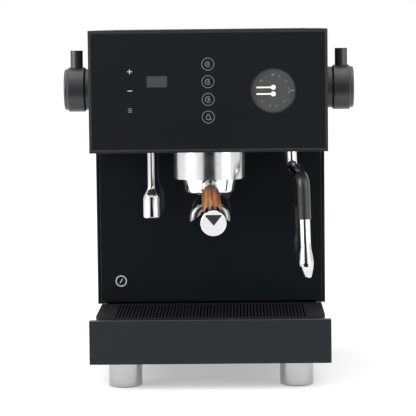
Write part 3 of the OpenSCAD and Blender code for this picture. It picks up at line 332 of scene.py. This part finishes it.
nodeFinish = {
    "base_pan": "caseBlack", "left_side_panel": "caseBlack", "right_side_panel": "caseBlack",
    "rear_panel": "caseBlack", "top_frame": "caseBlack", "cup_tray": "gridBlack",
    "head_underside": "caseBlack", "head_bezel": "bezelDark", "control_glass": "controlGlass",
    "display_window": "displaySmoke", "splash_glass": "splashGlass", "column_plate": "caseBlack",
    "inner_bulkhead": "zincSheet", "tank_seat": "blackPlastic", "feet": "footSteel",
    "foot_pads": "footRubber", "casing_screws": "screwSteel", "group_body": "brass",
    "group_collar": "collarSteel", "group_gasket": "sealRubber", "shower_screen": "chrome",
    "steam_nut": "screwSteel", "water_nut": "brass", "knob_collars": "knobGrey", "water_valve": "brass",
    "steam_valve": "brass", "gauge_can": "blackPlastic", "gauge_dial": "dial", "gauge_lens": "lensClear",
    "coffee_thermoblock": "castAluminium", "steam_thermoblock": "castAluminium", "pumps": "zincSheet",
    "solenoid_valve": "blackPlastic", "control_board": "boardGreen", "power_inlet": "blackPlastic",
    "switch_bezel": "blackPlastic", "water_lines": "copper", "tray_front": "trayBlack",
    "drip_tub": "blackPlastic", "drip_grid": "gridBlack", "water_tank": "tankSmoke",
    "tank_lid": "blackPlastic", "portafilter_bowl": "chrome", "filter_basket": "chrome",
    "double_spout": "shadedSpoutSteel", "handle_ferrule": "darkChrome", "handle_grip": "wood",
    "handle_cap": "mirrorSteel", "steam_swivel": "screwSteel", "steam_tube": "chrome",
    "steam_grip": "gripRubber", "steam_tip": "wandSteel", "water_wand": "wandSteel",
    "steam_knob": "knobGrey", "steam_knob_cap": "capGrey", "water_knob": "knobGrey",
    "water_knob_cap": "capGrey", "upper_needle": "needleCream", "lower_needle": "needleCream",
    "power_rocker": "blackPlastic",
}

# edge rounding of the CAD nodes, in millimetres; the rest take the plain value
edgeRound = {
    "plain": 0.3, "tray_front": 0.7, "control_glass": 0.5, "splash_glass": 0.6, "drip_grid": 0.25,
    "handle_cap": 0.5, "group_collar": 0.5, "steam_knob": 0.4, "water_knob": 0.4, "feet": 0.35,
    "upper_needle": 0.08, "lower_needle": 0.08, "gauge_lens": 0.1, "display_window": 0.05,
    "shower_screen": 0.1, "filter_basket": 0.15, "casing_screws": 0.3, "steam_grip": 0.8,
}


dressing = {
    "weld": 0.01, "segments": 2, "flatWeight": 50,
    "sharpest": 32,  # edges that turn more than this get rounded
}


def dressNode(name, width):
    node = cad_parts[name]
    mesh = node.data
    mesh.materials.clear()
    mesh.materials.append(finishes[nodeFinish[name]])
    if "custom_normal" in mesh.attributes:
        mesh.attributes.remove(mesh.attributes["custom_normal"])
    for face in mesh.polygons:
        face.use_smooth = True
    weld = node.modifiers.new("weld", "WELD")
    weld.merge_threshold = dressing["weld"] * mm
    bevel = node.modifiers.new("edges", "BEVEL")
    bevel.width = width * mm
    bevel.segments = dressing["segments"]
    bevel.limit_method = "ANGLE"
    bevel.angle_limit = math.radians(dressing["sharpest"])
    bevel.miter_outer = "MITER_ARC"
    weighted = node.modifiers.new("flats", "WEIGHTED_NORMAL")
    weighted.mode = "FACE_AREA_WITH_ANGLE"
    weighted.weight = dressing["flatWeight"]
    weighted.keep_sharp = True


for nodeName in nodeFinish:
    dressNode(nodeName, edgeRound.get(nodeName, edgeRound["plain"]))
print("CAD nodes dressed")


def makePiece(name, build, finish, body, smooth=None):
    # build fills a bmesh; the piece then rides on its body
    mesh = bpy.data.meshes.new(name)
    shape = bmesh.new()
    build(shape)
    bmesh.ops.recalc_face_normals(shape, faces=shape.faces)
    shape.to_mesh(mesh)
    shape.free()
    piece = bpy.data.objects.new(name, mesh)
    bpy.context.scene.collection.objects.link(piece)
    mesh.materials.append(finishes[finish])
    if smooth is not None:
        mesh.shade_smooth()
        mesh.set_sharp_from_angle(angle=math.radians(smooth))
    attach(piece, body)
    return piece


def solidOutline(shape, points, low, high):
    # a flat outline in X and Z, given thickness from low to high in Y
    front = [shape.verts.new((x, low, z)) for x, z in points]
    back = [shape.verts.new((x, high, z)) for x, z in points]
    shape.faces.new(front)
    shape.faces.new(back[::-1])
    for i in range(len(points)):
        j = (i + 1) % len(points)
        shape.faces.new((front[i], back[i], back[j], front[j]))


def solidBand(shape, centre, radius, width, low, high, start=0, stop=360, steps=48):
    # part of a flat ring round a centre in X and Z, angles in degrees from +X towards +Z
    closed = stop - start >= 360
    count = steps if closed else steps + 1
    rows = []
    for i in range(count):
        angle = math.radians(start + (stop - start) * i / steps)
        row = []
        for r in (radius - width / 2, radius + width / 2):
            x = centre[0] + r * math.cos(angle)
            z = centre[1] + r * math.sin(angle)
            row += [shape.verts.new((x, low, z)), shape.verts.new((x, high, z))]
        rows.append(row)
    for i in range(count if closed else count - 1):
        a, b = rows[i], rows[(i + 1) % count]
        for p, q in ((0, 1), (1, 3), (3, 2), (2, 0)):
            shape.faces.new((a[p], a[q], b[q], b[p]))
    if not closed:
        for row in (rows[0], rows[-1]):
            shape.faces.new((row[0], row[1], row[3], row[2]))


def bar(shape, centre, size, low, high, turn=0):
    # a flat bar in X and Z, turned in degrees
    w, h = size[0] / 2, size[1] / 2
    c, s = math.cos(math.radians(turn)), math.sin(math.radians(turn))
    corners = [(-w, -h), (w, -h), (w, h), (-w, h)]
    placed = [(centre[0] + x * c - z * s, centre[1] + x * s + z * c) for x, z in corners]
    solidOutline(shape, placed, low, high)


def turned(shape, profile, axis, steps=160):
    # a closed outline of (radius, height) points, turned about an upright axis
    rings = []
    for i in range(steps):
        c, s = math.cos(2 * math.pi * i / steps), math.sin(2 * math.pi * i / steps)
        rings.append([shape.verts.new((axis[0] + r * c, axis[1] + r * s, z)) for r, z in profile])
    for i in range(steps):
        a, b = rings[i], rings[(i + 1) % steps]
        for j in range(len(profile)):
            k = (j + 1) % len(profile)
            shape.faces.new((a[j], b[j], b[k], a[k]))


sleeve = {
    "stand": 0.04,  # how far a sleeve stands out of the part it covers
    "wall": 0.5, "short": 0.1,  # its thickness, and how far it stops below what it meets
    "collarChamfer": 0.6,
    "bowlRadius": 27.55, "bowlFoot": 1.8, "bowlBend": 4.0, "bowlTaper": 15.0, "bowlHole": 8.2,
    "bowlInCollar": 6.0, "bendSteps": 8,
    "footRadius": 17.0, "footChamfer": 0.5, "footSteps": 96,
}


wall = sleeve["wall"] * mm
stand = sleeve["stand"] * mm


def collarSleeve(shape):
    r = (collarHigh.x - collarLow.x) / 2 + stand
    chamfer = sleeve["collarChamfer"] * mm
    low, high = collarLow.z - stand, collarHigh.z - sleeve["short"] * mm
    turned(shape, [(r - chamfer - wall, low), (r - chamfer, low), (r, low + chamfer), (r, high),
                   (r - wall, high), (r - wall, low + chamfer)], groupAxis)


def bowlSleeve(shape):
    r, low = sleeve["bowlRadius"] * mm, bowlLow.z
    bend = sleeve["bowlBend"] * mm
    bendX, bendZ = r - sleeve["bowlFoot"] * mm - bend, low + bend  # middle of the rounded foot
    outer = [(sleeve["bowlHole"] * mm, low - stand)]
    for i in range(sleeve["bendSteps"] + 1):
        angle = math.radians(i * 90 / sleeve["bendSteps"])
        outer.append((bendX + (bend + stand) * math.sin(angle), bendZ - (bend + stand) * math.cos(angle)))
    outer.append((r + stand, low + sleeve["bowlTaper"] * mm))
    outer.append((r + stand, collarLow.z + sleeve["bowlInCollar"] * mm))
    inner = [(x - wall, z + wall) for x, z in outer[::-1]]
    inner[0] = (inner[0][0], outer[-1][1])
    inner[-1] = (outer[0][0], low + wall)
    turned(shape, outer + inner, groupAxis)


feetLow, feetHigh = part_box("feet")


def footSleeves(shape):
    r, chamfer = sleeve["footRadius"] * mm, sleeve["footChamfer"] * mm
    low, high = feetLow.z, feetHigh.z - sleeve["short"] * mm
    for x in (feetLow.x + r, feetHigh.x - r):
        for y in (feetLow.y + r, feetHigh.y - r):
            turned(shape, [(r - chamfer - wall, low), (r - chamfer, low), (r + stand, low + chamfer),
                           (r + stand, high), (r - wall, high), (r - wall, low + chamfer)],
                   (x, y), sleeve["footSteps"])


makePiece("collar_sleeve", collarSleeve, "collarSteel", "casing", 30)
makePiece("bowl_sleeve", bowlSleeve, "chrome", "portafilter", 40)
makePiece("foot_sleeves", footSleeves, "footSteel", "casing", 30)

trayLow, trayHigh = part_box("tray_front")
trayEdge = {"from": 0.35, "to": 1.7, "lift": 0.03, "ends": 0.7}


def edgeLine(shape):
    # a painted highlight along the top edge of the tray's front
    low, high = trayLow.y + trayEdge["from"] * mm, trayLow.y + trayEdge["to"] * mm
    middle = ((trayLow.x + trayHigh.x) / 2, trayHigh.z)
    length = trayHigh.x - trayLow.x - 2 * trayEdge["ends"] * mm
    bar(shape, middle, (length, 2 * trayEdge["lift"] * mm), low, high)


makePiece("tray_edge", edgeLine, "edgeHighlight", "drip_tray")
print("turned parts and tray edge")

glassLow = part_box("control_glass")[0]
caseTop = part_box("top_frame")[1].z
glassFront = glassLow.y

panelPrint = {
    "lift": 0.06,  # how far the print stands out of the glass
    "sink": 0.1,
    "ringDrops": (34.4, 52.0, 69.7, 87.3),  # below the casing's top
    "ringRadius": 6.05, "ringLine": 0.62,
    "sideX": -78.4, "plusDrop": 41.2, "minusDrop": 60.5, "menuDrop": 80.0, "markSize": 4.8, "markLine": 0.8,
    "menuStep": 1.7, "menuLine": 0.8, "menuShare": 0.84,
    "cupSize": 2.5, "cupGrows": 0.15, "dropSize": 2.9, "iconLine": 0.7, "fineLine": 0.6,
}


def panelMark(name, build, finish="iconGrey"):
    low = glassFront - panelPrint["lift"] * mm
    high = glassFront + panelPrint["sink"] * mm
    return makePiece(name, lambda shape: build(shape, low, high), finish, "casing")


iconLine = panelPrint["iconLine"] * mm
fineLine = panelPrint["fineLine"] * mm


def cupMark(shape, low, high, z, size):
    # a cup with its rim, handle and the coffee in it, in shares of its size
    s = size * mm
    solidBand(shape, (0, z), s, 0.75 * mm, low, high, 60, 330, 26)
    bar(shape, (s * 0.72, z - s * 0.78), (1.2 * mm, 1.1 * mm), low, high, 20)
    bar(shape, (s * 0.2, z + s * 0.86), (s * 1.1, fineLine), low, high)
    solidBand(shape, (s * 0.25, z + s * 0.05), s * 0.34, iconLine, low, high, 0, 360, 20)


def dropMark(shape, low, high, z, size):
    # a drop with a small stroke beside it
    s = size * mm
    solidBand(shape, (0, z - s * 0.25), s * 0.72, iconLine, low, high, 150, 390, 24)
    for side in (-1, 1):
        bar(shape, (side * s * 0.36, z + s * 0.6), (iconLine, s * 1.1), low, high, side * 30)
    bar(shape, (s * 0.95, z - s * 0.8), (s * 0.5, fineLine), low, high, -35)


for index, drop in enumerate(panelPrint["ringDrops"]):
    z = caseTop - drop * mm
    panelMark(f"touch_ring_{index + 1}", lambda shape, low, high: solidBand(
        shape, (0, z), panelPrint["ringRadius"] * mm, panelPrint["ringLine"] * mm, low, high))
    last = index == len(panelPrint["ringDrops"]) - 1
    glyph = dropMark if last else cupMark
    size = panelPrint["dropSize"] if last else panelPrint["cupSize"] + panelPrint["cupGrows"] * index
    panelMark(f"touch_icon_{index + 1}", lambda shape, low, high: glyph(shape, low, high, z, size))

sideX = panelPrint["sideX"] * mm
markSize = panelPrint["markSize"] * mm
markLine = panelPrint["markLine"] * mm


def plusMark(shape, low, high):
    z = caseTop - panelPrint["plusDrop"] * mm
    bar(shape, (sideX, z), (markSize, markLine), low, high)
    for side in (-1, 1):
        bar(shape, (sideX, z + side * (markSize / 4 + markLine / 4)),
            (markLine, markSize / 2 - markLine / 2), low, high)


def menuMark(shape, low, high):
    z = caseTop - panelPrint["menuDrop"] * mm
    for step in (-1, 0, 1):
        bar(shape, (sideX, z + step * panelPrint["menuStep"] * mm),
            (markSize * panelPrint["menuShare"], panelPrint["menuLine"] * mm), low, high)


panelMark("plus_mark", plusMark, "iconBright")
panelMark("minus_mark", lambda shape, low, high: bar(
    shape, (sideX, caseTop - panelPrint["minusDrop"] * mm), (markSize, markLine), low, high), "iconBright")
panelMark("menu_mark", menuMark, "iconGrey")

dialLow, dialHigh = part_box("gauge_dial")
dialMid = (dialLow + dialHigh) / 2
dialFront = dialLow.y
dialRadius = (dialHigh.x - dialLow.x) / 2

gaugePrint = {
    "lift": 0.08, "sink": 0.02, "tickRadius": 0.93, "tickLength": 1.3, "tickWidth": 0.28,
    "ticks": 48, "longEvery": 4, "longer": 1.5, "tickGap": 8,  # degrees left free on the left
    "numberRadius": 0.71, "numberSize": 3.1, "numberThick": 0.04,
    "dashRadius": 0.86, "dashLength": 4.4, "dashWidth": 0.9,
    # angle from +X towards +Z, text, finish
    "numbers": ((142, "20", "inkBlue"), (118, "2", "inkGrey"), (91, "60", "inkBlue"), (66, "5", "inkBlue"),
                (37, "10", "inkGrey"), (8, "8", "inkGrey"), (-7, "0", "inkBlue"), (-44, "4", "inkBlue"),
                (-78, "8", "inkYellow"), (-103, "9", "inkBlue"), (-137, "2", "inkBlue")),
}


printLow = dialFront - gaugePrint["lift"] * mm
printHigh = dialFront + gaugePrint["sink"] * mm


def dialTicks(shape):
    for i in range(gaugePrint["ticks"]):
        angle = i * 360 / gaugePrint["ticks"]
        if abs(angle - 180) < gaugePrint["tickGap"]:
            continue
        longer = gaugePrint["longer"] if i % gaugePrint["longEvery"] == 0 else 1
        length = gaugePrint["tickLength"] * mm * longer
        r = dialRadius * gaugePrint["tickRadius"] - length / 2
        c, s = math.cos(math.radians(angle)), math.sin(math.radians(angle))
        bar(shape, (dialMid.x + r * c, dialMid.z + r * s), (length, gaugePrint["tickWidth"] * mm),
            printLow, printHigh, angle)


def dialNumber(index, angle, text, finish):
    # numerals are text turned to a mesh, so that they are plain pieces
    curve = bpy.data.curves.new(f"numeral_{index}", "FONT")
    curve.body = text
    curve.size = gaugePrint["numberSize"] * mm
    curve.align_x = "CENTER"
    curve.align_y = "CENTER"
    curve.extrude = gaugePrint["numberThick"] * mm
    curve.resolution_u = 3
    holder = bpy.data.objects.new("holder", curve)
    bpy.context.scene.collection.objects.link(holder)
    bpy.context.view_layer.update()
    mesh = bpy.data.meshes.new_from_object(holder.evaluated_get(bpy.context.evaluated_depsgraph_get()))
    bpy.data.objects.remove(holder)
    r = dialRadius * gaugePrint["numberRadius"]
    spot = Vector((dialMid.x + r * math.cos(math.radians(angle)), dialFront - gaugePrint["numberThick"] * mm,
                   dialMid.z + r * math.sin(math.radians(angle))))
    mesh.transform(Matrix.Translation(spot) @ Matrix.Rotation(math.radians(90), 4, "X"))
    mesh.materials.clear()
    mesh.materials.append(finishes[finish])
    numeral = bpy.data.objects.new(f"numeral_{index}", mesh)
    bpy.context.scene.collection.objects.link(numeral)
    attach(numeral, "casing")


makePiece("dial_ticks", dialTicks, "inkGrey", "casing")
for index, (angle, text, ink) in enumerate(gaugePrint["numbers"]):
    dialNumber(index, angle, text, ink)


def dialDash(shape):
    bar(shape, (dialMid.x + dialRadius * gaugePrint["dashRadius"], dialMid.z),
        (gaugePrint["dashLength"] * mm, gaugePrint["dashWidth"] * mm), printLow, printHigh)


makePiece("dial_dash", dialDash, "inkBlue", "casing")
print("panel and gauge printed")

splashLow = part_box("splash_glass")[0]
roundMark = {
    "x": -95.3, "z": 96.0, "radius": 5.4, "line": 1.1,
    "barWidth": 0.9, "barLength": 5.4, "barTurn": -32, "lift": 0.06, "sink": 0.1,
}


def ringAndBar(shape):
    low, high = splashLow.y - roundMark["lift"] * mm, splashLow.y + roundMark["sink"] * mm
    centre = (roundMark["x"] * mm, roundMark["z"] * mm)
    solidBand(shape, centre, roundMark["radius"] * mm, roundMark["line"] * mm, low, high)
    bar(shape, centre, (roundMark["barWidth"] * mm, roundMark["barLength"] * mm), low, high,
        roundMark["barTurn"])


makePiece("round_mark", ringAndBar, "iconBright", "casing")

def makeStage(name, corners, material):
    mesh = bpy.data.meshes.new(name)
    mesh.from_pydata(corners, [], [tuple(range(len(corners)))])
    sheet = bpy.data.objects.new(name, mesh)
    bpy.context.scene.collection.objects.link(sheet)
    mesh.materials.append(material)
    return sheet


def floorFinish():
    m = Finish("floorWhite", Metallic=0.0, Specular_IOR_Level=0.0, Emission_Strength=0.4)
    soft = m.noise(m.place(), 2, 2)
    m.feed("Base Color", m.tint(soft, grey(0.62), grey(0.64)))
    m.feed("Emission Color", m.tint(soft, grey(0.98), grey(1.0)))
    m.feed("Roughness", m.fit(soft, 0.3, 0.7, 0.7, 0.8))
    return m.material


def cardFinish(name="cardBlack", value=0.012, glow=0.0):
    m = Finish(name, Metallic=0.0, Specular_IOR_Level=0.0, Emission_Strength=glow)
    soft = m.noise(m.place(), 3, 2)
    m.feed("Base Color", m.tint(soft, grey(value * 0.9), grey(value * 1.1)))
    m.feed("Emission Color", m.tint(soft, grey(0.97), grey(1.0)))
    m.feed("Roughness", 0.9)
    return m.material


# the studio is in metres
studio = {
    "floorHalf": 40.0, "cardY": -2.9, "cardHalf": 0.95, "cardLow": 0.002, "cardHigh": 1.7,
    "clothNear": -0.42, "clothHalf": 0.36, "clothUp": 0.001, "sky": 1.0,
}
wide = studio["floorHalf"]
makeStage("floor", [(-wide, -wide, 0), (wide, -wide, 0), (wide, wide, 0), (-wide, wide, 0)], floorFinish())
half, far = studio["cardHalf"], studio["cardY"]
card = makeStage("dark_card", [(-half, far, studio["cardLow"]), (half, far, studio["cardLow"]),
                               (half, far, studio["cardHigh"]), (-half, far, studio["cardHigh"])],
                 cardFinish())
# dark cloth on the floor under the camera, out of its view
near, up = studio["clothHalf"], studio["clothUp"]
cloth = makeStage("dark_cloth", [(-half, far, up), (half, far, up),
                                 (near, studio["clothNear"], up), (-near, studio["clothNear"], up)],
                  cardFinish())


def hideSheet(sheet):
    # seen only in reflections
    sheet.visible_camera = False
    sheet.visible_shadow = False
    sheet.visible_diffuse = False


hideSheet(card)
hideSheet(cloth)


def areaLight(name, at, aim, size, power):
    data = bpy.data.lights.new(name, "AREA")
    data.shape = "RECTANGLE"
    data.size, data.size_y = size
    data.energy = power
    lamp = bpy.data.objects.new(name, data)
    bpy.context.scene.collection.objects.link(lamp)
    lamp.location = at
    lamp.rotation_euler = (Vector(aim) - Vector(at)).to_track_quat("-Z", "Y").to_euler()


# place, aim and size in metres, power in watts
lamps = {
    "topSoft": ((0, -0.1, 2.6), (0, 0, 0.1), (2.4, 2.4), 26),
    "leftSoft": ((-2.2, -1.2, 1.1), (0, 0, 0.2), (1.2, 2.0), 55),
    "rightSoft": ((2.2, -1.5, 1.0), (0, 0, 0.2), (1.2, 2.0), 22),
}
for lampName, (at, aim, size, power) in lamps.items():
    areaLight(lampName, at, aim, size, power)

world = bpy.data.worlds.new("studioWorld")
bpy.context.scene.world = world
world.use_nodes = True
world.node_tree.nodes["Background"].inputs[0].default_value = (1, 1, 1, 1)
world.node_tree.nodes["Background"].inputs[1].default_value = studio["sky"]
bpy.context.scene.view_settings.view_transform = "Standard"

# front is the distance before the tray; tilt, yaw and roll are in degrees
cameraPlan = {"x": 31, "front": 2085, "z": 366, "tilt": 5.0, "yaw": 0.875, "roll": -0.62, "lens": 182.4}
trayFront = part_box("tray_front")[0].y
cameraData = bpy.data.cameras.new("camera")
cameraData.lens = cameraPlan["lens"]
cameraData.sensor_width = 36
cameraData.clip_end = 50
camera = bpy.data.objects.new("camera", cameraData)
bpy.context.scene.collection.objects.link(camera)
camera.location = (cameraPlan["x"] * mm, trayFront - cameraPlan["front"] * mm, cameraPlan["z"] * mm)
turn = Matrix.Rotation(math.radians(cameraPlan["yaw"]), 3, "Z")
lean = Matrix.Rotation(math.radians(90 - cameraPlan["tilt"]), 3, "X")
roll = Matrix.Rotation(math.radians(cameraPlan["roll"]), 3, "Z")
camera.rotation_euler = (turn @ lean @ roll).to_euler()
bpy.context.scene.camera = camera

# small cards before the handle's end: pale, with a dark wedge, seen only in its mirror
capCards = {
    "away": 25, "radius": 13.2, "steps": 32,
    "wedge": ((0.3, -2.2), (-8.8, 8.2), (8.6, 8.2)), "wedgeAhead": 1,
}
sight = (faceMid - camera.location).normalized()
mirrored = sight - 2 * sight.dot(handleOut) * handleOut
cardRight = (turn @ lean @ roll).col[0]
cardUp = mirrored.cross(cardRight).normalized()


def capCard(name, points, away, material):
    corners = [faceMid + mirrored * away * mm + cardRight * x * mm + cardUp * z * mm for x, z in points]
    sheet = makeStage(name, [tuple(corner) for corner in corners], material)
    hideSheet(sheet)


paleAngles = [2 * math.pi * i / capCards["steps"] for i in range(capCards["steps"])]
paleRound = [(capCards["radius"] * math.cos(angle), capCards["radius"] * math.sin(angle))
             for angle in paleAngles]
capCard("pale_card", paleRound, capCards["away"], cardFinish("cardPale", 0.2, 0.8))
capCard("dark_wedge", capCards["wedge"], capCards["away"] - capCards["wedgeAhead"],
        cardFinish("cardGrey", 0.06))
print("studio and camera ready")
